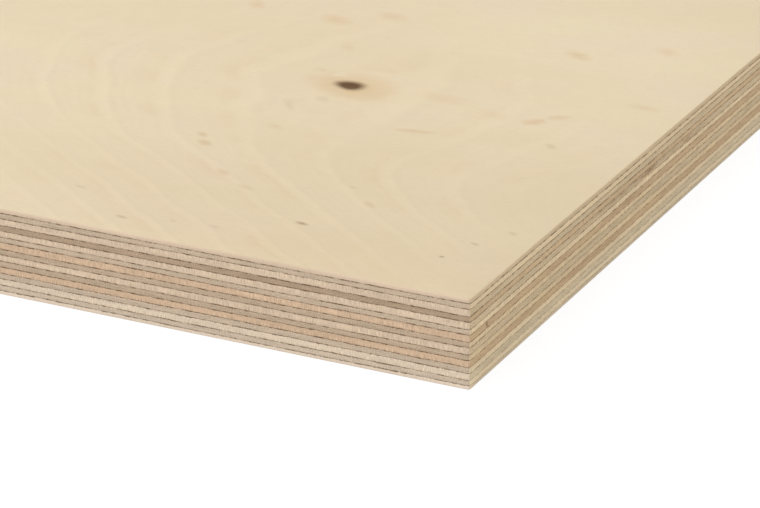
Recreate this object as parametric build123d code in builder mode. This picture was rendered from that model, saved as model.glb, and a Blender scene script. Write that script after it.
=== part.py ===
from build123d import *
import os

# A full sheet of birch plywood, lying flat on its back veneer.
# Fifteen rotary-cut veneers are glued face to face, the grain of each square to
# the next, and the blank is sawn to size on all four sides after pressing.
# The face grain runs along X. The origin is the middle of the underside.

# Sheet
sheet_length = 2440.0
sheet_width = 1220.0

# Lay-up, counted from the face (1) to the back (ply_count)
ply_count = 15
outer_veneer = 0.975
cross_ply = 1.35
long_ply = 1.60

# Arrises of the face and of the back, broken with abrasive paper after sawing
arris_radius = 0.3
arris = min(arris_radius, 0.45 * outer_veneer)

os.makedirs("parts", exist_ok=True)


# Back veneer: grain along the sheet, sanded thin, on the floor
with BuildPart() as back_veneer:
    with BuildSketch(Plane.XY):
        Rectangle(sheet_length, sheet_width)
    extrude(amount=outer_veneer)
    underside = back_veneer.faces().sort_by(Axis.Z).first
    fillet(underside.edges(), radius=arris)

back_veneer.part.label = "back_veneer"
export_step(back_veneer.part, "parts/back_veneer.step")


# Core: laid from the back upwards. Even plies run across the sheet, odd ones along it
glue_line = outer_veneer
for ply_number in range(ply_count - 1, 1, -1):
    if ply_number % 2 == 0:
        ply_name = f"cross_ply_{ply_number:02d}"
        ply_thickness = cross_ply
    else:
        ply_name = f"long_ply_{ply_number:02d}"
        ply_thickness = long_ply

    with BuildPart() as core_ply:
        with BuildSketch(Plane.XY.offset(glue_line)):
            Rectangle(sheet_length, sheet_width)
        extrude(amount=ply_thickness)

    core_ply.part.label = ply_name
    export_step(core_ply.part, f"parts/{ply_name}.step")
    glue_line += ply_thickness


# Face veneer: grain along the sheet, glued on top of the last cross ply
with BuildPart() as face_veneer:
    with BuildSketch(Plane.XY.offset(glue_line)):
        Rectangle(sheet_length, sheet_width)
    extrude(amount=outer_veneer)
    face = face_veneer.faces().sort_by(Axis.Z).last
    fillet(face.edges(), radius=arris)

face_veneer.part.label = "face_veneer"
export_step(face_veneer.part, "parts/face_veneer.step")
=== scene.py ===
import math
import random

import bmesh
import bpy
from mathutils import Matrix, Vector, noise
from mathutils.geometry import delaunay_2d_cdt


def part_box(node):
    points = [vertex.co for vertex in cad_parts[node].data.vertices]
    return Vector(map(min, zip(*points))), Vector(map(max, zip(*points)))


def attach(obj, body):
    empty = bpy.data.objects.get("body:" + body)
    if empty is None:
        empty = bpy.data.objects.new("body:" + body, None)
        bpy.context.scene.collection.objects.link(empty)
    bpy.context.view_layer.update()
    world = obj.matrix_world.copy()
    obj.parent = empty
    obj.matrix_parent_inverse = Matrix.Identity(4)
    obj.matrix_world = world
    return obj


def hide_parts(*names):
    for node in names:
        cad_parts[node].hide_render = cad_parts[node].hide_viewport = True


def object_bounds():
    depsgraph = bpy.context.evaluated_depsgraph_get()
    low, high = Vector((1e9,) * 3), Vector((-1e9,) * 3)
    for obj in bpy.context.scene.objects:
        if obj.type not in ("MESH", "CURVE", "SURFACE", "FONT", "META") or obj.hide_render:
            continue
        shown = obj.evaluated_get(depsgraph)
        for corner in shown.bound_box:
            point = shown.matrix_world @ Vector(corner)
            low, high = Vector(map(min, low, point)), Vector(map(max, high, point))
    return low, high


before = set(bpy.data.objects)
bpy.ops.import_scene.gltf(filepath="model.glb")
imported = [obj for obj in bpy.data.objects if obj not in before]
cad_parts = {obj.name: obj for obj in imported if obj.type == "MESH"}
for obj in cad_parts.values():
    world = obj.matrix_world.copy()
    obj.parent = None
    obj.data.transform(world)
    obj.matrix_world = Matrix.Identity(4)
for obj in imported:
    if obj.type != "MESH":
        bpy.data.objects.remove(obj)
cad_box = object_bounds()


# Back veneer
# The underside of the sheet: one rotary-cut birch veneer with its grain along the sheet. It is laid
# first, sanded thin after pressing, and the arris round it is broken with abrasive paper.

MM = 0.001
LOW, HIGH = cad_box
LENGTH = HIGH.x - LOW.x
WIDTH = HIGH.y - LOW.y
NEAR_CORNER = Vector((HIGH.x, LOW.y))  # the corner that the photograph shows
PLIES = len(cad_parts)

# The saw's path: points round the rim, closest on the stretches that the photograph shows
FINE_STEP = 0.5 * MM
COARSE_STEP = 7 * MM
FINE_REACH = 190 * MM
STEP_GROWTH = 0.04


def near_steps(length):
    """Distances along a side that starts at the near corner."""
    places = [0.0]
    while places[-1] < length:
        wider = FINE_STEP + max(0.0, places[-1] - FINE_REACH) * STEP_GROWTH
        places.append(places[-1] + min(COARSE_STEP, wider))
    return [place * length / places[-1] for place in places]


def even_steps(length):
    """Distances along a side that the photograph doesn't show."""
    count = round(length / COARSE_STEP)
    return [length * number / count for number in range(count + 1)]


def saw_path():
    """The rim, anticlockwise from the near corner: each point, the way out there, and its side's way out."""
    right = [Vector((HIGH.x, LOW.y + step)) for step in near_steps(WIDTH)]
    rear = [Vector((HIGH.x - step, HIGH.y)) for step in even_steps(LENGTH)]
    left = [Vector((LOW.x, HIGH.y - step)) for step in even_steps(WIDTH)]
    front = [Vector((HIGH.x - step, LOW.y)) for step in reversed(near_steps(LENGTH))]
    outward = [Vector((1, 0)), Vector((0, 1)), Vector((-1, 0)), Vector((0, -1))]
    path = []
    for number, side in enumerate((right, rear, left, front)):
        out = outward[number]
        path.append((side[0], out + outward[number - 1], out))
        path.extend((place, out, out) for place in side[1:-1])
    return path


RIM = saw_path()
TRAVEL = [0.0]
for here, there in zip(RIM, RIM[1:] + RIM[:1]):
    TRAVEL.append(TRAVEL[-1] + (there[0] - here[0]).length)

# How far each thing takes the rim out of true, and how many waves of noise it has in a metre
SLOW_STRAY = 0.16 * MM
SLOW_WAVES = 19
QUICK_STRAY = 0.07 * MM
QUICK_WAVES = 260
SLOW_LAYER, QUICK_LAYER = 7.3, 3.1  # how far apart in the noise two glue lines lie
GROOVE_DEPTH = 0.05 * MM
GROOVE_REACH = 0.09 * MM
TORN_END_GRAIN = 0.05 * MM
TORN_LONG_GRAIN = 0.02 * MM
TORN_WAVES, TORN_WAVES_UP = 900, 1600
CORNER_BITE = 0.38 * MM
CORNER_REACH = 1.8 * MM
CORNER_WAVES, CORNER_WAVES_UP = 40, 900

# A splinter torn out of the short edge: its place across and up, its half width and height, lean and depth
TEAR_PLACE = Vector((8.6, 12.0)) * MM
TEAR_SIZE = Vector((0.45, 1.1)) * MM
TEAR_LEAN = math.radians(-28)
TEAR_DEPTH = 0.35 * MM


def glue_line_stray(line, place):
    """How far a glue line strays up or down where the saw crosses it. The two broad faces are flat."""
    if line in (0, PLIES):
        return 0.0
    slow = noise.noise(Vector((place.x * SLOW_WAVES, place.y * SLOW_WAVES, line * SLOW_LAYER)))
    quick = noise.noise(Vector((place.x * QUICK_WAVES, place.y * QUICK_WAVES, line * QUICK_LAYER)))
    return SLOW_STRAY * slow + QUICK_STRAY * quick


def sunk(place, height, from_glue, end_grain):
    """How deep a cut edge lies inside its outline: a groove at the glue, and torn fibres away from it."""
    groove = GROOVE_DEPTH * math.exp(-((from_glue / GROOVE_REACH) ** 2))
    torn = TORN_END_GRAIN if end_grain else TORN_LONG_GRAIN
    tear = abs(noise.noise(Vector((place.x * TORN_WAVES, place.y * TORN_WAVES, height * TORN_WAVES_UP))))
    return groove + torn * tear * min(1.0, from_glue / (2 * GROOVE_REACH))


def torn_out(place, height):
    """1 in the middle of the torn-out splinter, falling to 0 at its edge."""
    if place.x < HIGH.x:
        return 0.0
    offset = Vector((place.y - LOW.y, height)) - TEAR_PLACE
    offset.rotate(Matrix.Rotation(TEAR_LEAN, 2))
    reach = math.hypot(offset.x / TEAR_SIZE.x, offset.y / TEAR_SIZE.y)
    return max(0.0, 1 - reach)


def corner_wear(place, height):
    """What handling has worn off an upright corner, more on some plies than on others."""
    along = min(place.x - LOW.x, HIGH.x - place.x)
    across = min(place.y - LOW.y, HIGH.y - place.y)
    if along + across > CORNER_REACH:
        return 0.0
    spot = Vector((place.x * CORNER_WAVES, place.y * CORNER_WAVES, height * CORNER_WAVES_UP))
    bite = 0.5 + 0.5 * noise.noise(spot)
    return CORNER_BITE * bite * (1 - (along + across) / CORNER_REACH) ** 2


# The grid of points inside a broad face
BORDER = 60 * MM
COLUMNS, ROWS = 36, 18
INSIDE_ONLY, SAME_POINT = 1, 1e-7  # how the triangles are made: none outside the rim


def broad_face_plan(marks=()):
    """The points of a broad face seen from above, the rim's first, and the triangles between them."""
    points = [place for place, *ways in RIM]
    points += [
        Vector((LOW.x + BORDER + (LENGTH - 2 * BORDER) * column / COLUMNS,
                LOW.y + BORDER + (WIDTH - 2 * BORDER) * row / ROWS))
        for column in range(COLUMNS + 1) for row in range(ROWS + 1)
    ]
    points += [spot for spot, *values in marks]
    found = delaunay_2d_cdt(points, [], [list(range(len(RIM)))], INSIDE_ONLY, SAME_POINT)
    corners, edges, faces, sources, *rest = found
    first_source = [source[0] for source in sources]
    return points, [[first_source[corner] for corner in face] for face in faces]


def node_of(number):
    """The CAD node of a ply, counted from the face."""
    if number == 1:
        return "face_veneer"
    if number == PLIES:
        return "back_veneer"
    return f"{'cross' if number % 2 == 0 else 'long'}_ply_{number:02d}"


NO_GLUE = 5 * MM  # how far a sanded side counts as lying from glue
# How strongly painted shade darkens the hollow of the torn-out splinter
TEAR_PAINTED_SHADE = 1.6
STAIN_RISE = 0.35  # how far up and down in its ply a stain reaches
SHARP_EDGE = math.radians(50)

# The map for baking, in shares of its side: its margin, and the gap between two rows of the rim
MAP_EDGE, MAP_SPAN = 0.002, 0.996
ROW_GUTTER = 0.1


class Veneer:
    """One veneer as a closed mesh: rings of points up its sawn rim, and a broad face under and over them."""

    def __init__(self, number, profile, map_rows, map_split, stains=()):
        self.number = number
        self.profile = profile
        self.map_rows = map_rows
        self.map_split = map_split
        self.stains = stains
        self.mesh = bmesh.new()
        layers = self.mesh.verts.layers.float
        self.above, self.below = layers.new("above"), layers.new("below")
        # the knot layer carries the knot's dark heart on a broad face, and painted shade in the torn-out
        # splinter on the rim
        self.knot, self.fleck, self.stain = layers.new("knot"), layers.new("fleck"), layers.new("stain")
        self.bake_map = self.mesh.loops.layers.uv.new("OFBake")
        low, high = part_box(node_of(number))
        self.bottom, self.top = low.z, high.z
        self.rings = [self.ring(rise, inset) for rise, inset in profile]
        self.saw()

    def ring(self, rise, inset):
        """The points of the rim at one share of the veneer's height."""
        made = []
        thickness = self.top - self.bottom
        above = rise * thickness if self.number < PLIES else NO_GLUE
        below = (1 - rise) * thickness if self.number > 1 else NO_GLUE
        for place, out, side in RIM:
            under = self.bottom + glue_line_stray(self.number, place)
            over = self.top + glue_line_stray(self.number - 1, place)
            height = under + (over - under) * rise
            end_grain = (self.number % 2 == 0) == (side.x == 0)
            torn = torn_out(place, height)
            depth = inset + sunk(place, height, min(above, below), end_grain)
            depth += corner_wear(place, height) + torn * TEAR_DEPTH
            spot = place - out * depth
            point = self.mesh.verts.new((spot.x, spot.y, height))
            point[self.above], point[self.below] = above / MM, below / MM
            # painted shade in the torn-out splinter's hollow
            point[self.knot] = min(1.0, TEAR_PAINTED_SHADE * torn)
            point[self.stain] = self.stained(place, rise)
            made.append(point)
        return made

    def stained(self, place, rise):
        """How dark the log's dark heart shows on the near short edge, for a ply that has some."""
        if place.x < HIGH.x:
            return 0.0
        across = (place.y - LOW.y) / MM
        shares = [
            strength * math.exp(-(((across - middle) / length) ** 2) - ((rise - level) / STAIN_RISE) ** 2)
            for middle, length, level, strength in self.stains
        ]
        return max(shares, default=0.0)

    def saw(self):
        """The sawn rim, with material 1 on the long edges and 2 on the short ones."""
        for lower, upper, bands in zip(self.rings, self.rings[1:], zip(self.profile, self.profile[1:])):
            low_rise, high_rise = bands[0][0], bands[1][0]
            for start, (place, out, side) in enumerate(RIM):
                end = (start + 1) % len(RIM)
                face = self.mesh.faces.new((lower[start], lower[end], upper[end], upper[start]))
                face.material_index = 1 if side.x == 0 else 2
                face.smooth = True
                steps = (start, start + 1, start + 1, start)
                rises = (low_rise, low_rise, high_rise, high_rise)
                for loop, step, rise in zip(face.loops, steps, rises):
                    loop[self.bake_map].uv = self.rim_map(start, step, rise)

    def rim_map(self, start, step, rise):
        """Where a point of the rim lies on the bake's map: the rim is cut into rows, one above the other."""
        stretch = TRAVEL[-1] / self.map_rows
        row = min(int(TRAVEL[start] / stretch), self.map_rows - 1)
        across = (TRAVEL[step] - row * stretch) / (stretch + COARSE_STEP)
        up = (row + ROW_GUTTER + (1 - 2 * ROW_GUTTER) * rise) / self.map_rows
        low, high = self.map_split
        return MAP_EDGE + MAP_SPAN * across, low + (high - low) * up

    def broad_face(self, ring, plan, upward, map_zone, marks=()):
        """A broad face: the ring is its border, and the plan's other points lie inside it."""
        points, triangles = plan
        height = self.top if upward else self.bottom
        corners = ring + [self.mesh.verts.new((spot.x, spot.y, height)) for spot in points[len(RIM):]]
        for corner, (spot, knot, fleck, stain, depth) in zip(corners[len(corners) - len(marks):], marks):
            corner[self.knot], corner[self.fleck], corner[self.stain] = knot, fleck, stain
            corner.co.z += -depth if upward else depth
        low, high = map_zone
        for triangle in triangles:
            order = triangle if upward else triangle[::-1]
            face = self.mesh.faces.new([corners[corner] for corner in order])
            for loop in face.loops:
                along = (loop.vert.co.x - LOW.x) / LENGTH
                across = (loop.vert.co.y - LOW.y) / WIDTH
                loop[self.bake_map].uv = MAP_EDGE + MAP_SPAN * along, low + (high - low) * across

    def piece(self, name, materials):
        """Makes the mesh a piece that stands for its CAD node."""
        data = bpy.data.meshes.new(name)
        self.mesh.to_mesh(data)
        self.mesh.free()
        data.set_sharp_from_angle(angle=SHARP_EDGE)
        made = bpy.data.objects.new(name, data)
        bpy.context.scene.collection.objects.link(made)
        for material in materials:
            data.materials.append(material)
        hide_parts(node_of(self.number))
        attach(made, "root")
        return made


# Knots and pith flecks are drawn into a broad face as rings of points that carry how dark they are
KNOT_RINGS = ((0.3, 8), (0.55, 10), (0.8, 12), (1.05, 14), (1.35, 16), (1.9, 16), (3.2, 16))
KNOT_DEPTH = 0.2 * MM
KNOT_HALO = 0.32
KNOT_SKEW = 0.22  # a knot is thicker at one end
HEART_END, HALO_END, HALO_FADE = 1.3, 3.2, 2  # in shares of the knot's size
FLECK_RINGS = ((0.5, 0.6, 6), (1, 0, 8))  # how far out, how much of the darkness is left, and points
PIN_BORDER, PIN_APART = 60, 90
PIN_LENGTH, PIN_WIDTH, PIN_TURN = (2, 6), (1.5, 3.5), (-30, 30)


def clamped(value):
    return min(1.0, max(0.0, value))


def drawn(along, across, length, width, turn, middle, rings, depth=0.0, skew=0.0):
    """Rings of points round a place in millimetres from the near corner: point, values and depth of each."""
    place = NEAR_CORNER + Vector((along, across)) * MM
    tilt = Matrix.Rotation(math.radians(turn), 2)
    made = [(place, *middle, depth)]
    for reach, values, count in rings:
        for number in range(count):
            angle = math.tau * (number + reach) / count
            thick = width * (1 + skew * math.cos(angle))
            offset = tilt @ Vector((math.cos(angle) * length, math.sin(angle) * thick)) * reach * MM / 2
            made.append((place + offset, *values, depth * max(0.0, 1 - reach)))
    return made


def knot_mark(along, across, length, width, turn):
    rings = []
    for reach, count in KNOT_RINGS:
        heart = clamped(HEART_END - reach)
        halo = KNOT_HALO * clamped((HALO_END - reach) / HALO_FADE)
        rings.append((reach, (heart, 0.0, halo), count))
    return drawn(along, across, length, width, turn, (1.0, 0.0, KNOT_HALO), rings, KNOT_DEPTH, KNOT_SKEW)


def fleck_mark(along, across, length, width, turn, dark, warm):
    rings = [(reach, (0.0, dark * left, warm * left), count) for reach, left, count in FLECK_RINGS]
    return drawn(along, across, length, width, turn, (0.0, dark, warm), rings)


def pin_knots(seed, count, clear):
    """Small knots strewn over a broad face, clear of the near corner and of each other."""
    rolls = random.Random(seed)
    found = []
    while len(found) < count:
        along = rolls.uniform(PIN_BORDER, LENGTH / MM - PIN_BORDER)
        across = rolls.uniform(PIN_BORDER, WIDTH / MM - PIN_BORDER)
        apart = all(math.dist((along, across), other[:2]) > PIN_APART for other in found)
        if apart and math.hypot(along, across) > clear:
            length, width, turn = (rolls.uniform(*span) for span in (PIN_LENGTH, PIN_WIDTH, PIN_TURN))
            found.append((along, across, length, width, turn))
    return [knot_mark(-along, *values) for along, *values in found]


def srgb(red, green, blue):
    """A colour as a picture shows it, from 0 to 255, as the shader wants it: the sRGB curve undone."""
    shares = [value / 255 for value in (red, green, blue)]
    light = [((share + 0.055) / 1.055) ** 2.4 if share > 0.04 else share / 12.92 for share in shares]
    return (*light, 1)


def open_socket(sockets, name):
    """The socket of that name which the node's settings leave in use, or the first one."""
    usable = [socket for socket in sockets if socket.enabled]
    return next((socket for socket in usable if socket.name == name), usable[0])


class Shade:
    """A value that changes over a surface. It is reckoned with as a number is, and adds the nodes for it."""

    def __init__(self, finish, socket):
        self.finish = finish
        self.socket = socket

    def __add__(self, other):
        return self.finish.maths("ADD", self, other)

    __radd__ = __add__

    def __sub__(self, other):
        return self.finish.maths("SUBTRACT", self, other)

    def __rsub__(self, other):
        return self.finish.maths("SUBTRACT", other, self)

    def __mul__(self, other):
        return self.finish.maths("MULTIPLY", self, other)

    __rmul__ = __mul__

    def __truediv__(self, other):
        return self.finish.maths("DIVIDE", self, other)

    def __pow__(self, other):
        return self.finish.maths("POWER", self, other)

    def most(self, other):
        return self.finish.maths("MAXIMUM", self, other)

    def size(self):
        return self.finish.maths("ABSOLUTE", self)

    def swing(self):
        """Noise as a swing to either side of 0."""
        return self - 0.5

    def fraction(self):
        return self.finish.maths("FRACT", self)

    def rising(self, low, high):
        """0 below low, 1 above high, and a smooth step between."""
        settings = {"interpolation_type": "SMOOTHSTEP"}
        sockets = {"Value": self, "From Min": low, "From Max": high}
        return self.finish.node("ShaderNodeMapRange", settings, sockets)


class Finish:
    """A finish made of nodes. Its node method adds any node and gives back one of its outputs."""

    def __init__(self, holder):
        holder.use_nodes = True
        self.holder = holder
        self.tree = holder.node_tree
        self.tree.nodes.clear()

    def node(self, kind, settings=None, sockets=None, output=None):
        made = self.tree.nodes.new(kind)
        for name, value in (settings or {}).items():
            setattr(made, name, value)
        for name, value in (sockets or {}).items():
            socket = made.inputs[name] if isinstance(name, int) else open_socket(made.inputs, name)
            if isinstance(value, Shade):
                self.tree.links.new(value.socket, socket)
            else:
                socket.default_value = value
        return Shade(self, open_socket(made.outputs, output)) if len(made.outputs) else made

    def maths(self, operation, *values):
        return self.node("ShaderNodeMath", {"operation": operation}, dict(enumerate(values)))

    def spot(self):
        """The place on the sheet in millimetres, from the near corner: along, across and up."""
        place = {"Vector": self.node("ShaderNodeTexCoord", output="Object")}
        along, across, up = (self.node("ShaderNodeSeparateXYZ", None, place, axis) for axis in "XYZ")
        return (along - NEAR_CORNER.x) / MM, (across - NEAR_CORNER.y) / MM, up / MM

    def cloud(self, x, y, z=0.0, detail=2.0, roughness=0.5):
        """Noise round 0.5, in steps of about one unit of x, y and z."""
        place = self.node("ShaderNodeCombineXYZ", None, {"X": x, "Y": y, "Z": z})
        sockets = {"Vector": place, "Scale": 1.0, "Detail": detail, "Roughness": roughness}
        return self.node("ShaderNodeTexNoise", {"noise_dimensions": "3D"}, sockets, "Fac")

    def pattern(self, x, y, look):
        """A cloud by its look: its patches' length and width, layer in the noise, detail and roughness."""
        length, width, *rest = look
        return self.cloud(x / length, y / width, *rest)

    def blend(self, colour, other, share):
        """One colour where share is 0 and the other where it is 1."""
        settings = {"data_type": "RGBA", "clamp_factor": True}
        return self.node("ShaderNodeMix", settings, {"Factor": share, "A": colour, "B": other}, "Result")

    def lit(self, colour, brightness):
        """The colour made lighter or darker."""
        sockets = {0: colour, "Scale": brightness}
        return self.node("ShaderNodeVectorMath", {"operation": "SCALE"}, sockets, "Vector")

    def carried(self, layer):
        """A value that the mesh carries on its points."""
        return self.node("ShaderNodeAttribute", {"attribute_name": layer}, output="Fac")

    def surface(self, colour, roughness, relief, specular):
        """The wood's surface: relief is its height in millimetres."""
        height = {"Height": relief, "Strength": 1.0, "Distance": MM}
        bump = self.node("ShaderNodeBump", None, height, "Normal")
        sockets = {"Base Color": colour, "Roughness": roughness, "Specular IOR Level": specular}
        shader = self.node("ShaderNodeBsdfPrincipled", None, {**sockets, "Normal": bump})
        self.node("ShaderNodeOutputMaterial", None, {"Surface": shader})
        return self.holder


CREAM = srgb(229, 213, 180)
BUTTER = srgb(224, 205, 171)
SHELL = srgb(229, 208, 181)
RUST = srgb(204, 158, 92)
# dark brown: the knot's own heart, and painted shade in the torn-out splinter
KNOT_HEART_AND_SPLINTER_SHADE = srgb(94, 64, 26)
FLECK_BROWN = srgb(136, 103, 62)

# Patterns in the wood: the length and width of their patches in millimetres, their layer in the noise,
# its detail and its roughness. A span says between which values of the noise a pattern sets in
FLAMES = 1500, 260, 0.3, 0.0
FLAME_RINGS = 24
SWAY = 520, 120, 4.1, 1.0
SWAY_RINGS = 4
RING_PITCH = 70
WAVER = 26, 16, 0.0, 2.0
WAVER_RINGS = 0.5
STRENGTH = 90, 40, 2.0, 1.0
STRENGTH_SPAN = 0.25, 0.6
LEAST_STRENGTH = 0.5
SMUDGES = 18, 12, 22.0, 3.0
SMUDGE_SPAN = 0.42, 0.68
PATCHES = 160, 55, 7.0, 3.0
PATCH_SPAN = 0.35, 0.65
PATCH_SHARE = 0.5
WARMTH = 38, 24, 9.0, 2.0
WARMTH_SPAN = 0.42, 0.64
WARMTH_SHARE = 0.45
MOTTLE = 9, 6, 12.0, 3.0
MOTTLE_CONTRAST = 0.04
FIBRES = 7, 0.5, 1.0, 3.0, 0.6
FIBRE_CONTRAST = 0.10
PORES = 1.8, 0.28, 5.0, 1.0
PORE_SPAN = 0.56, 0.72
PORE_DARKNESS = 0.045
RAGGED = 1.3, 0.6, 3.0, 3.0
CELLS = 5, 2.2, 17.0, 2.0

# One growth ring, from 0 to 1: where its pale line, dark inner side and warm wood rise and fall
PALE_RISE, PALE_FALL = (0.77, 0.94), (0.95, 1)
DARK_RISE, DARK_FADE = (0, 0.05), 3
WARM_RISE, WARM_FALL = (0.3, 0.72), (0.74, 0.86)
RING_LIGHT = 0.015
RING_DARK = 0.013
RING_WARM = 0.1
FINE_RINGS = 5
FINE_CONTRAST = 0.015
FINE_MEAN = 0.25

# Where the far rings begin, the nest of arcs near the corner, and the darker, yellower tone round the corner
FAR_FIGURE = 2.8
FAR_REACH = 220, 420
NEST = Vector((-95, 55))
NEST_REACH = 55, 115
CORNER_TONE_REACH = 30, 190
CORNER_TONE_SHAPE = 1.45
CORNER_TONE_SHARE = 0.6
CORNER_TONE_DARKNESS = 0.045

# Pith flecks that chance strews over the sheet: their spacing, sizes, edge, number and first distance
STREWN_SPACING = 34, 19
STREWN_RAGGED = 0.06
STREWN_LEAST, STREWN_MORE = 0.3, 1.3
STREWN_EDGE = 0.02, 0.085
STREWN_CHANCE = 0.5, 0.95
STREWN_REACH = 230, 300
STREWN_SHARE = 0.25

KNOT_RAGGED = 0.2
KNOT_EDGE = 0.02, 0.86
FIBRE_RELIEF, PORE_RELIEF, HEART_RELIEF = 0.010, 0.02, 0.05
SANDED_ROUGHNESS, FIBRE_ROUGHNESS = 0.55, 0.12
SANDED_SHINE = 0.2


def far_rings(finish, along, across):
    """The growth rings as the lathe laid them open over the whole sheet: long flames and islands."""
    flames = finish.pattern(along, across, FLAMES)
    sway = finish.pattern(along, across, SWAY)
    return flames * FLAME_RINGS + sway * SWAY_RINGS + across / RING_PITCH


def ring_lines(rings):
    """A pale line at the outer side of each growth ring, a darker band inside it, and finer ones between."""
    turn = rings.fraction()
    light = turn.rising(*PALE_RISE) * (1 - turn.rising(*PALE_FALL))
    dark = turn.rising(*DARK_RISE) * (1 - turn) ** DARK_FADE
    fine = (rings * FINE_RINGS).fraction().swing().size()
    return RING_LIGHT * light - RING_DARK * dark + FINE_CONTRAST * (fine - FINE_MEAN)


def warm_bands(rings):
    """The warmer, late wood of each growth ring, just inside its pale line."""
    turn = rings.fraction()
    return turn.rising(*WARM_RISE) * (1 - turn.rising(*WARM_FALL))


def strewn_flecks(finish, along, across, reach, ragged):
    """Pith flecks strewn by chance, none of them near the corner."""
    spacing = {"X": along / STREWN_SPACING[0], "Y": across / STREWN_SPACING[1]}
    place = finish.node("ShaderNodeCombineXYZ", None, spacing)
    voronoi = {"voronoi_dimensions": "2D"}, {"Vector": place, "Scale": 1.0, "Randomness": 1.0}
    apart = finish.node("ShaderNodeTexVoronoi", *voronoi, "Distance")
    chance = {0: finish.node("ShaderNodeTexVoronoi", *voronoi, "Color")}
    dark, large = (finish.node("ShaderNodeSeparateColor", None, chance, name) for name in ("Red", "Green"))
    spread = (apart + ragged * STREWN_RAGGED) / (STREWN_LEAST + STREWN_MORE * large * large)
    return (1 - spread.rising(*STREWN_EDGE)) * dark.rising(*STREWN_CHANCE) * reach.rising(*STREWN_REACH)


def sanded_birch(name, near_rings=None):
    """The broad face of an outer veneer, sanded smooth: rings, fibres, knots and pith flecks."""
    finish = Finish(bpy.data.materials.new(name))
    along, across, up = finish.spot()
    reach = (along * along + across * across) ** 0.5

    # The growth rings: how much lighter or darker they are, and how warm
    waver = finish.pattern(along, across, WAVER).swing() * WAVER_RINGS
    rings = far_rings(finish, along, across) + waver
    figure = FAR_FIGURE * ring_lines(rings)
    warm = warm_bands(rings)
    if near_rings:
        far = reach.rising(*FAR_REACH)
        nest = (along - NEST.x) ** 2 + (across - NEST.y) ** 2
        near = 1 - (nest ** 0.5).rising(*NEST_REACH)
        smudges = finish.pattern(along, across, SMUDGES).rising(*SMUDGE_SPAN)
        rings = near_rings(finish, along, across) + waver
        figure = figure * far + ring_lines(rings) * near
        warm = warm * far + warm_bands(rings) * near * smudges

    # The wood between them
    strength = finish.pattern(along, across, STRENGTH).rising(*STRENGTH_SPAN)
    patches = finish.pattern(along, across, PATCHES).rising(*PATCH_SPAN)
    warmth = finish.pattern(along, across, WARMTH).rising(*WARMTH_SPAN)
    mottle = finish.pattern(along, across, MOTTLE)
    fibres = finish.pattern(along, across, FIBRES)
    pores = finish.pattern(along, across, PORES).rising(*PORE_SPAN)
    # The face is made darker and yellower round the near corner
    from_corner = (along * along + (CORNER_TONE_SHAPE * across) ** 2) ** 0.5
    corner_tone = 1 - from_corner.rising(*CORNER_TONE_REACH)
    colour = finish.blend(CREAM, BUTTER, patches * PATCH_SHARE + corner_tone * CORNER_TONE_SHARE)
    colour = finish.blend(colour, SHELL, warmth * WARMTH_SHARE)
    colour = finish.blend(colour, RUST, warm * RING_WARM)
    grain = FIBRE_CONTRAST * fibres.swing() - PORE_DARKNESS * pores + MOTTLE_CONTRAST * mottle.swing()
    brightness = 1 + figure * (LEAST_STRENGTH + strength) + grain - CORNER_TONE_DARKNESS * corner_tone
    colour = finish.lit(colour, brightness)

    # Knots and flecks, with ragged edges
    knot, fleck, stain = (finish.carried(layer) for layer in ("knot", "fleck", "stain"))
    ragged = finish.pattern(along, across, RAGGED).swing()
    cells = finish.pattern(along, across, CELLS).swing()
    strewn = strewn_flecks(finish, along, across, reach, ragged)
    heart = (knot + ragged * KNOT_RAGGED).rising(*KNOT_EDGE)
    colour = finish.blend(colour, RUST, stain * (1 + cells))
    colour = finish.blend(colour, FLECK_BROWN, (fleck * (1 + ragged)).most(strewn * STREWN_SHARE))
    colour = finish.blend(colour, KNOT_HEART_AND_SPLINTER_SHADE, heart)
    relief = FIBRE_RELIEF * fibres - PORE_RELIEF * pores - HEART_RELIEF * heart
    return finish.surface(colour, SANDED_ROUGHNESS + FIBRE_ROUGHNESS * fibres, relief, SANDED_SHINE)


RESIN = srgb(84, 54, 14)
RUST_DARK = srgb(150, 108, 76)
LONG_EDGES, SHORT_EDGES = "long_edges", "short_edges"

# How strongly a glue line shows. On the short edges it fades from the face to the back
GLUE_ON_LONG = 0.8
GLUE_ON_SHORT_TOP = 0.85
GLUE_ON_SHORT_BOTTOM = 0.4


def glue_strengths(line):
    """How strongly a glue line shows on the long and on the short edges. The broad faces have none."""
    if line in (0, PLIES):
        return 0.0, 0.0
    depth = (line - 1) / (PLIES - 2)
    return GLUE_ON_LONG, GLUE_ON_SHORT_TOP + (GLUE_ON_SHORT_BOTTOM - GLUE_ON_SHORT_TOP) * depth


# The glue line's patterns, with lengths along the edge and up it, and how many millimetres they reach
GLUE_SHIFT = 0.9, 2, 11.0, 3.0, 0.6
SHIFT_REACH = 0.3
TEETH = 0.35, 3, 15.0, 2.0
TEETH_REACH = 0.26
LUMPS = 1.6, 3, 13.0, 3.0
LUMP_SPAN = 0.3, 0.7
LUMP_REACH = 0.09
THINNING = 0.12
FILM_EDGE = 0, 0.07
THIN_FILM = 0.5
SEEP_REACH = 0.03, 0.4
SEEP_DARKNESS = 0.09


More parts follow.
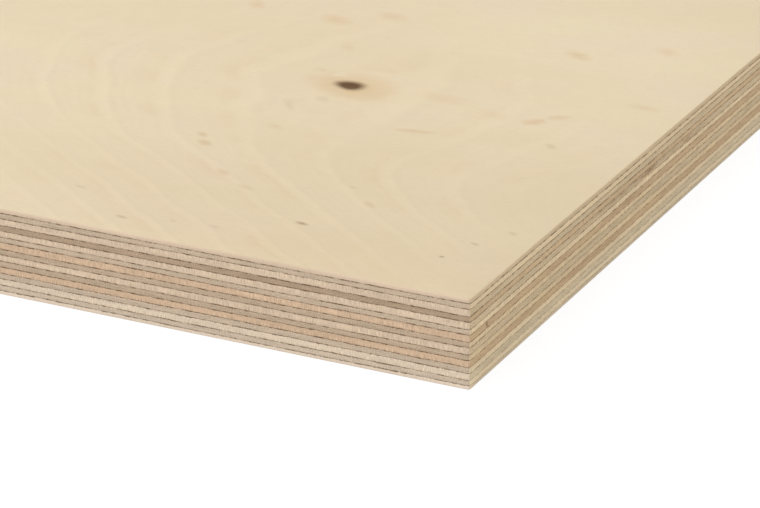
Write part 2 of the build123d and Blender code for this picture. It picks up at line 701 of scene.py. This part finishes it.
def glue_line(finish, colour, travel, up, strengths):
    """Draws the dark resin where the saw crossed the glue, thick and thin, and its stain in the wood."""
    upper, lower = strengths
    shift = finish.pattern(travel, up, GLUE_SHIFT).swing() * SHIFT_REACH
    above = (finish.carried("above") - shift).size()
    below = (finish.carried("below") + shift).size()
    teeth = finish.pattern(travel, up, TEETH)
    lumps = finish.pattern(travel, up, LUMPS).rising(*LUMP_SPAN)
    spread = TEETH_REACH * teeth + LUMP_REACH * lumps - THINNING
    at_lower = (1 - (above - spread).rising(*FILM_EDGE)) * lower
    at_upper = (1 - (below - spread).rising(*FILM_EDGE)) * upper
    film = at_lower.most(at_upper) * (THIN_FILM + (1 - THIN_FILM) * lumps)
    seep = (1 - above.rising(*SEEP_REACH)) * lower + (1 - below.rising(*SEEP_REACH)) * upper
    colour = finish.lit(colour, 1 - SEEP_DARKNESS * seep)
    return finish.blend(colour, RESIN, film), film


BLOTCHES = 6, 0.7, 19.0, 3.0
BLOTCH_SPAN = 0.3, 0.62
# how far painted shade darkens the torn-out splinter
SPLINTER_PAINTED_SHADE = 0.75


def marred(finish, colour, travel, up):
    """The log's dark heart, and the torn-out splinter with painted shade in its hollow, where the mesh
    carries them.
    """
    blotches = finish.pattern(travel, up, BLOTCHES)
    stain = finish.carried("stain") * blotches.rising(*BLOTCH_SPAN)
    colour = finish.blend(colour, RUST_DARK, stain)
    # painted shade in the torn-out splinter's hollow
    return finish.blend(colour, KNOT_HEART_AND_SPLINTER_SHADE, finish.carried("knot") * SPLINTER_PAINTED_SHADE)


DRIFT_SPAN = 0.35, 0.65
FILM_RELIEF = 0.03
SAWN_SHINE = 0.06

LONG_DRIFT = 34, 2.6, 0.0, 3.0
LONG_PATCHES = 4.5, 1.6, 21.0, 3.0
STREAKS = 14, 0.2, 3.0, 3.0, 0.6
CHECKS = 0.16, 1.6, 6.0, 1.0
STREAK_CONTRAST, LONG_PATCH_CONTRAST, CHECK_CONTRAST = 0.22, 0.25, 0.95
STREAK_RELIEF, CHECK_RELIEF = 0.02, 0.03
LONG_GRAIN_ROUGHNESS, STREAK_ROUGHNESS = 0.7, 0.12


def long_grain_edge(name, tone, other, edges, strengths, coarseness=1.0):
    """A veneer sawn along its grain: pale and streaked, with the lathe's fine checks across it."""
    finish = Finish(bpy.data.materials.new(name))
    along, across, up = finish.spot()
    travel = along if edges == LONG_EDGES else across
    drift = finish.pattern(travel, up, LONG_DRIFT).rising(*DRIFT_SPAN)
    patches = finish.pattern(travel, up, LONG_PATCHES)
    streaks = finish.pattern(travel, up, STREAKS)
    checks = finish.pattern(travel, up, CHECKS)
    colour = finish.blend(tone, other, drift)
    grain = STREAK_CONTRAST * streaks.swing() + LONG_PATCH_CONTRAST * patches.swing()
    grain = grain + CHECK_CONTRAST * checks.swing()
    colour = finish.lit(colour, 1 + grain * coarseness)
    colour, film = glue_line(finish, marred(finish, colour, travel, up), travel, up, strengths)
    relief = STREAK_RELIEF * streaks + CHECK_RELIEF * checks - FILM_RELIEF * film
    return finish.surface(colour, LONG_GRAIN_ROUGHNESS + STREAK_ROUGHNESS * streaks, relief, SAWN_SHINE)


END_DRIFT = 34, 2.6, 1.0, 3.0
END_PORES = 0.28, 0.28, 4.0, 3.0, 0.75
END_RINGS = 8, 0.4, 7.0, 2.0
END_PATCHES = 5, 1.2, 9.0, 3.0
END_PORE_CONTRAST, END_RING_CONTRAST, END_PATCH_CONTRAST = 1.9, 0.3, 0.35
END_PORE_RELIEF = 0.06
END_GRAIN_ROUGHNESS, END_PORE_ROUGHNESS = 0.78, 0.1


def end_grain_edge(name, tone, other, edges, strengths, coarseness=1.0):
    """A veneer sawn across its grain: darker and greyer, speckled with pores, with faint rings."""
    finish = Finish(bpy.data.materials.new(name))
    along, across, up = finish.spot()
    travel = along if edges == LONG_EDGES else across
    drift = finish.pattern(travel, up, END_DRIFT).rising(*DRIFT_SPAN)
    pores = finish.pattern(travel, up, END_PORES)
    rings = finish.pattern(travel, up, END_RINGS)
    patches = finish.pattern(travel, up, END_PATCHES)
    colour = finish.blend(tone, other, drift)
    grain = END_PORE_CONTRAST * pores.swing() + END_RING_CONTRAST * rings.swing()
    grain = grain + END_PATCH_CONTRAST * patches.swing()
    colour = finish.lit(colour, 1 + grain * coarseness)
    colour, film = glue_line(finish, marred(finish, colour, travel, up), travel, up, strengths)
    relief = END_PORE_RELIEF * pores - FILM_RELIEF * film
    return finish.surface(colour, END_GRAIN_ROUGHNESS + END_PORE_ROUGHNESS * pores, relief, SAWN_SHINE)


# Birch differs from log to log. These are its tones along the grain, palest first
LOGS = {
    "milk": (248, 231, 200),
    "snow": (240, 222, 188),
    "white": (235, 215, 180),
    "cream": (232, 210, 174),
    "straw": (225, 202, 165),
    "amber": (226, 197, 158),
    "tan": (210, 184, 148),
}
END_GRAIN_SHADE = 0.92  # a saw leaves end grain darker than long grain
DRIFT_SHADE = 0.965
# Painted light and shade: the long edges are painted greyer and darker, and the short ones brighter, for how
# the light falls on the two sides
LONG_EDGE_PAINTED_SHADE = 0.955, 0.945, 0.99  # the long edges are greyer, the short ones brighter
SHORT_EDGE_PAINTED_LIGHT = 1.04, 1.03, 1.02


def log_tones(log, painted_edge_light, shade):
    """A log's tone on one edge with that edge's painted light, and the darker one to which it drifts."""
    tone = [value * part * shade for value, part in zip(LOGS[log], painted_edge_light)]
    return srgb(*tone), srgb(*(value * DRIFT_SHADE for value in tone))


def edge_finishes(number, name, log, coarseness=1.0):
    """The finishes of a ply's long and short edges. Every other ply has its grain across the sheet."""
    crossed = number % 2 == 0
    sawn = (end_grain_edge, END_GRAIN_SHADE), (long_grain_edge, 1)
    (on_long, long_shade), (on_short, short_shade) = sawn if crossed else reversed(sawn)
    # each edge's tones carry its painted light: darker and greyer on the long edges, brighter on the short
    # ones
    long_tones = log_tones(log, LONG_EDGE_PAINTED_SHADE, long_shade)
    short_tones = log_tones(log, SHORT_EDGE_PAINTED_LIGHT, short_shade)
    long_strengths, short_strengths = zip(glue_strengths(number - 1), glue_strengths(number))
    return (
        on_long(f"{name}_long_edges", *long_tones, LONG_EDGES, long_strengths, coarseness),
        on_short(f"{name}_short_edges", *short_tones, SHORT_EDGES, short_strengths, coarseness),
    )


# Up the rim, a share of the veneer's height and how far the rim lies inside the outline there
ARRIS = 0.3 * MM
BACK_LOW, BACK_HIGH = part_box("back_veneer")
OUTER = BACK_HIGH.z - BACK_LOW.z
ARC = [math.radians(angle) for angle in (0, 30, 60, 90)]
BACK_PROFILE = [(ARRIS / OUTER * (1 - math.cos(turn)), ARRIS * (1 - math.sin(turn))) for turn in ARC]
BACK_PROFILE += [(rise, 0) for rise in (0.5, 0.75, 0.87, 0.95, 1)]
# How the map for baking is shared out: the rim's rows, and a zone for each broad face
OUTER_MAP = {"map_rows": 10, "map_split": (0.03, 0.2)}
SEEN_ZONE, HIDDEN_ZONE = (0.21, 0.998), (0.002, 0.02)

OUTER_COARSENESS = 0.4
BACK_LOG = "milk"
BACK_KNOTS = {"seed": 5, "count": 14, "clear": 120}

back_marks = [point for mark in pin_knots(**BACK_KNOTS) for point in mark]
back = Veneer(PLIES, BACK_PROFILE, **OUTER_MAP)
back.broad_face(back.rings[0], broad_face_plan(back_marks), False, SEEN_ZONE, back_marks)
back.broad_face(back.rings[-1], broad_face_plan(), True, HIDDEN_ZONE)
back.piece(
    "sanded_back",
    (sanded_birch("sanded_back"), *edge_finishes(PLIES, "back", BACK_LOG, OUTER_COARSENESS)),
)


# Core plies
# Thirteen veneers, cut from different logs and so of different colours, each laid with its grain
# square to the one below. Phenol resin glues them, and the saw shows it as thin dark lines.

# The log that each ply was peeled from
LAY_UP = {
    2: "cream",
    3: "cream",
    4: "tan",
    5: "cream",
    6: "cream",
    7: "amber",
    8: "straw",
    9: "cream",
    10: "straw",
    11: "amber",
    12: "white",
    13: "snow",
    14: "snow",
}
# The log's dark heart where it shows on the near short edge: its middle, reach, level in the ply and
# strength
STAINS = {
    5: ((98, 9, 0.6, 0.9), (78, 12, 0.7, 0.6), (122, 12, 0.5, 0.6), (58, 8, 0.6, 0.35)),
    7: ((84, 8, 0.5, 0.4), (48, 6, 0.4, 0.3)),
    11: ((60, 18, 0.6, 0.3),),
}
CORE_PROFILE = [(rise, 0) for rise in (0, 0.04, 0.1, 0.25, 0.5, 0.75, 0.9, 0.96, 1)]
CORE_MAP = {"map_rows": 22, "map_split": (0.31, 0.998)}
GLUED_UNDER_ZONE, GLUED_OVER_ZONE = (0.002, 0.145), (0.155, 0.3)

FILM_PATCHES = 30, 12
FILM_DETAIL = 3.0
FILM_SPAN = 0.35, 0.7
WOOD_THROUGH_FILM = 0.4
FILM_THICKNESS = 0.02
FILM_ROUGHNESS, THICK_FILM_ROUGHNESS = 0.45, 0.2
FILM_SHINE = 0.4


def glue_film():
    """The resin film on a glued face, between two veneers."""
    finish = Finish(bpy.data.materials.new("glue_film"))
    along, across, up = finish.spot()
    thickness = finish.pattern(along, across, (*FILM_PATCHES, up, FILM_DETAIL))
    colour = finish.blend(RESIN, BUTTER, thickness.rising(*FILM_SPAN) * WOOD_THROUGH_FILM)
    roughness = FILM_ROUGHNESS + THICK_FILM_ROUGHNESS * thickness
    return finish.surface(colour, roughness, FILM_THICKNESS * thickness, FILM_SHINE)


glued = glue_film()
glued_plan = broad_face_plan()
for number in range(PLIES - 1, 1, -1):
    name = f"ply_{number:02d}"
    ply = Veneer(number, CORE_PROFILE, **CORE_MAP, stains=STAINS.get(number, ()))
    ply.broad_face(ply.rings[0], glued_plan, False, GLUED_UNDER_ZONE)
    ply.broad_face(ply.rings[-1], glued_plan, True, GLUED_OVER_ZONE)
    ply.piece(f"sawn_{name}", (glued, *edge_finishes(number, name, LAY_UP[number])))


# Face veneer
# The side that shows: a clear birch veneer, sanded. Near the corner it has one small sound knot, and
# the lathe has opened the rings round it into nested arcs, with brown pith flecks along them.

NEAR_KNOT = (-81.9, 105.3, 8.8, 6.2, -8)

# Pith flecks: along, across, length, width, turn, how dark, and how warm
FLECKS = [
    (-51.5, 22, 4.5, 2, -12, 0.6, 0.11),
    (-98, 60.5, 5, 3, -40, 0.13, 0.22),
    (-95, 56, 6.5, 3.8, -30, 0.13, 0.26),
    (-82, 41.5, 6.5, 3, -30, 0.1, 0.18),
    (-73, 35.5, 7, 3, -20, 0.07, 0.14),
    (-89.5, 8, 5.5, 2, -15, 0.3, 0.05),
    (-107, 19.5, 6, 1.8, -10, 0.16, 0.03),
    (-78, 11, 3, 1.6, -30, 0.14, 0.03),
    (-68, 12, 4, 2, -10, 0.14, 0),
    (-15.5, 18.5, 2, 1.4, 0, 0.6, 0),
    (-12, 28, 3.5, 1.8, -20, 0.28, 0.05),
    (-43, 38.5, 7, 2.6, -35, 0.11, 0.14),
    (-51, 46, 3, 1.7, -15, 0.18, 0.04),
    (-89, 87, 13, 3, -52, 0.08, 0.08),
    (-83.5, 94, 6, 4.5, -40, 0.12, 0.05),
    (-92, 112, 11, 3.5, -12, 0.06, 0.13),
    (-54, 84, 16, 3.6, 12, 0.07, 0.22),
    (-31, 102, 9.5, 5.5, 38, 0.04, 0.4),
    (-27, 107, 9, 4.5, 30, 0.08, 0.16),
    (-40, 149, 11, 6.5, -25, 0.02, 0.33),
    (-107, 147, 12.5, 8.5, -25, 0, 0.31),
    (-95, 155.5, 12, 8, -20, 0.03, 0.18),
    (-131, 149, 9, 6, -50, 0.02, 0.27),
    (-95, 130, 10, 4.5, -50, 0.03, 0.12),
    (-21, 161, 10, 6.5, -35, 0, 0.18),
    (-11, 122, 11.5, 4.8, -10, 0.03, 0.18),
    (-21, 89, 6, 3.2, -40, 0.16, 0.05),
    (-7, 37, 3.6, 2, -30, 0.24, 0.04),
    (-85, 72.5, 6, 3.8, -30, 0.06, 0.13),
    (-57, 107, 19, 8, -5, 0, 0.16),
    (-42, 102, 16, 6, -12, 0, 0.1),
]

# A ridge in the log runs along the sheet, and the lathe opened its rings into arcs that point away
# from the corner. They sweep back on the corner's side of the ridge, and part round the knot
RIDGE = 57
RIDGE_NOSE = 12
RIDGE_SWEEP = 0.7
RIDGE_LEAN = 0.7
RING_SPACING = 15
FIRST_RING = -142
KNOT_PUSH = 30
KNOT_EASE = 40
KNOT_REACH = 45


def ridge_rings(finish, along, across):
    """The rings near the corner, as nested arcs."""
    from_knot, aside = along - NEAR_KNOT[0], (across - NEAR_KNOT[1]) / KNOT_REACH
    push = finish.maths("EXPONENT", 0 - aside * aside) * KNOT_PUSH
    parted = along - push * from_knot / (from_knot * from_knot + KNOT_EASE ** 2) ** 0.5
    side = across - RIDGE
    bend = ((side * side + RIDGE_NOSE ** 2) ** 0.5 - RIDGE_NOSE) * RIDGE_SWEEP - side * RIDGE_LEAN
    return (parted - bend - FIRST_RING) / RING_SPACING


FACE_LOG = "cream"
FACE_KNOTS = {"seed": 8, "count": 6, "clear": 330}
FACE_PROFILE = [(1 - rise, inset) for rise, inset in reversed(BACK_PROFILE)]

face_marks = [knot_mark(*NEAR_KNOT)] + [fleck_mark(*fleck) for fleck in FLECKS] + pin_knots(**FACE_KNOTS)
face_marks = [point for mark in face_marks for point in mark]
face = Veneer(1, FACE_PROFILE, **OUTER_MAP)
face.broad_face(face.rings[0], glued_plan, False, HIDDEN_ZONE)
face.broad_face(face.rings[-1], broad_face_plan(face_marks), True, SEEN_ZONE, face_marks)
face.piece(
    "sanded_face",
    (
        sanded_birch("sanded_face", ridge_rings),
        *edge_finishes(1, "face", FACE_LOG, OUTER_COARSENESS),
    ),
)


# Floor and light
# A plain white floor and a soft white room. The camera sees both as white, with the sheet's shadow.

FLOOR_SIZE = 40
FLOOR_CELLS = 8
FLOOR_GAP = 0.02 * MM
FLOOR_GLOW = 0.88
FLOOR_SHADOWED = 0.17
FLOOR_BOUNCE = 0.8
ROOM_LIGHT = 0.7
WHITE = (1, 1, 1, 1)
SOFT_BOX_SIZE = 3
SOFT_BOX_POWER = 73
SOFT_BOX_PLACE = -0.2, -2.4, 3.2


def seen_share(finish):
    """1 on the rays by which the floor or room is seen, straight or in something shiny."""
    kinds = ("Is Camera Ray", "Is Glossy Ray", "Is Transmission Ray")
    camera, glossy, through = (finish.node("ShaderNodeLightPath", output=kind) for kind in kinds)
    return camera.most(glossy).most(through)


floor_mesh = bmesh.new()
bmesh.ops.create_grid(floor_mesh, x_segments=FLOOR_CELLS, y_segments=FLOOR_CELLS, size=FLOOR_SIZE)
floor_data = bpy.data.meshes.new("floor")
floor_mesh.to_mesh(floor_data)
floor_mesh.free()
floor = bpy.data.objects.new("floor", floor_data)
bpy.context.scene.collection.objects.link(floor)
floor.location.z = LOW.z - FLOOR_GAP

paper = Finish(bpy.data.materials.new("floor_paper"))
glow = paper.node("ShaderNodeEmission", None, {"Color": WHITE, "Strength": FLOOR_GLOW})
shadowed = paper.node("ShaderNodeBsdfDiffuse", None, {"Color": (FLOOR_SHADOWED,) * 3 + (1,)})
seen = paper.node("ShaderNodeAddShader", None, {0: glow, 1: shadowed})
bounce = paper.node("ShaderNodeBsdfDiffuse", None, {"Color": (FLOOR_BOUNCE,) * 3 + (1,)})
floor_shader = paper.node("ShaderNodeMixShader", None, {0: seen_share(paper), 1: bounce, 2: seen})
paper.node("ShaderNodeOutputMaterial", None, {"Surface": floor_shader})
floor_data.materials.append(paper.holder)

bpy.context.scene.world = bpy.data.worlds.new("room")
room = Finish(bpy.context.scene.world)
dome = room.node("ShaderNodeBackground", None, {"Color": WHITE, "Strength": ROOM_LIGHT})
backdrop = room.node("ShaderNodeBackground", None, {"Color": WHITE, "Strength": 1.0})
sky = room.node("ShaderNodeMixShader", None, {0: seen_share(room), 1: dome, 2: backdrop})
room.node("ShaderNodeOutputWorld", None, {"Surface": sky})

soft_box_data = bpy.data.lights.new("soft_box", "AREA")
soft_box_data.size = SOFT_BOX_SIZE
soft_box_data.energy = SOFT_BOX_POWER
soft_box = bpy.data.objects.new("soft_box", soft_box_data)
bpy.context.scene.collection.objects.link(soft_box)
soft_box.location = SOFT_BOX_PLACE
aim = Vector((NEAR_CORNER.x, NEAR_CORNER.y, 0)) - soft_box.location
soft_box.rotation_euler = aim.to_track_quat("-Z", "Y").to_euler()


# Camera
# It looks down on the near corner, as the photograph does, through a long lens.

AZIMUTH, ELEVATION, ROLL = (math.radians(angle) for angle in (26.574, 22.955, -0.28))
FROM_CORNER = Vector((290.9, -623.9, 323.1)) * MM
SENSOR = 36
FOCAL_PIXELS, PICTURE_WIDTH = 3572.7, 760

camera_data = bpy.data.cameras.new("camera")
camera_data.sensor_width = SENSOR
camera_data.lens = SENSOR * FOCAL_PIXELS / PICTURE_WIDTH
camera = bpy.data.objects.new("camera", camera_data)
bpy.context.scene.collection.objects.link(camera)
camera.matrix_world = (
    Matrix.Translation(NEAR_CORNER.to_3d() + FROM_CORNER)
    @ Matrix.Rotation(AZIMUTH, 4, "Z")
    @ Matrix.Rotation(math.pi / 2 - ELEVATION, 4, "X")
    @ Matrix.Rotation(ROLL, 4, "Z")
)
bpy.context.scene.camera = camera
bpy.context.scene.view_settings.view_transform = "Standard"
